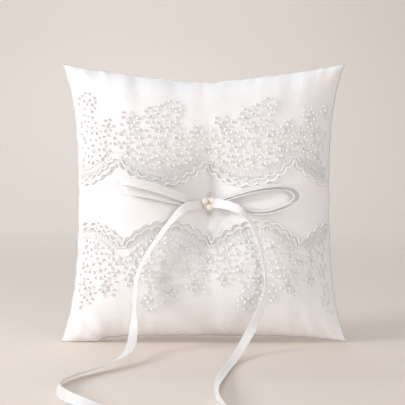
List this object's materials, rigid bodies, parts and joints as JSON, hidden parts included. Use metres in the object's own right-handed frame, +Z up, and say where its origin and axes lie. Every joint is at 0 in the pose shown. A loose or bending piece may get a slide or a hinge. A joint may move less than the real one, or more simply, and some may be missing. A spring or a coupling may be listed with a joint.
{
  "type": "ring bearer pillow",
  "caption": "Square stuffed satin ring pillow with scalloped lace bands, a tufted middle, a pearl-trimmed ribbon bow and long tails to tie the rings.",
  "frame": {"origin": "middle of the cushion's footprint at table height, the two ribbon tails left out", "axes": "+Z up, -Y out of the decorated front, +X to the right side as the pillow is looked at"},
  "size_m": [0.2006, 0.3001, 0.1962],
  "materials": {
    "satin": "satin",
    "fibre": "matte",
    "thread": "matte",
    "lace": "matte",
    "ribbon": "satin",
    "pearl": "gloss"
  },
  "bodies": {
    "root": {"front_panel": "satin", "back_panel": "satin", "fibre_filling": "fibre", "edge_seam_thread": "thread", "closing_stitches": "thread", "upper_lace_net": "lace", "upper_lace_edge_cord": "lace", "upper_lace_inner_cord": "lace", "lower_lace_net": "lace", "lower_lace_edge_cord": "lace", "lower_lace_inner_cord": "lace", "bow_loop_left_front": "ribbon", "bow_loop_left_rear": "ribbon", "bow_loop_right_outer": "ribbon", "bow_loop_right_inner": "ribbon", "bow_knot": "ribbon", "pearl_right": "pearl", "pearl_left": "pearl", "pearl_lower": "pearl", "pearl_thread": "thread", "tuft_thread": "thread", "tuft_anchor_knot": "thread", "ribbon_tail_left": "ribbon", "ribbon_tail_right": "ribbon"}
  },
  "joints": []
}
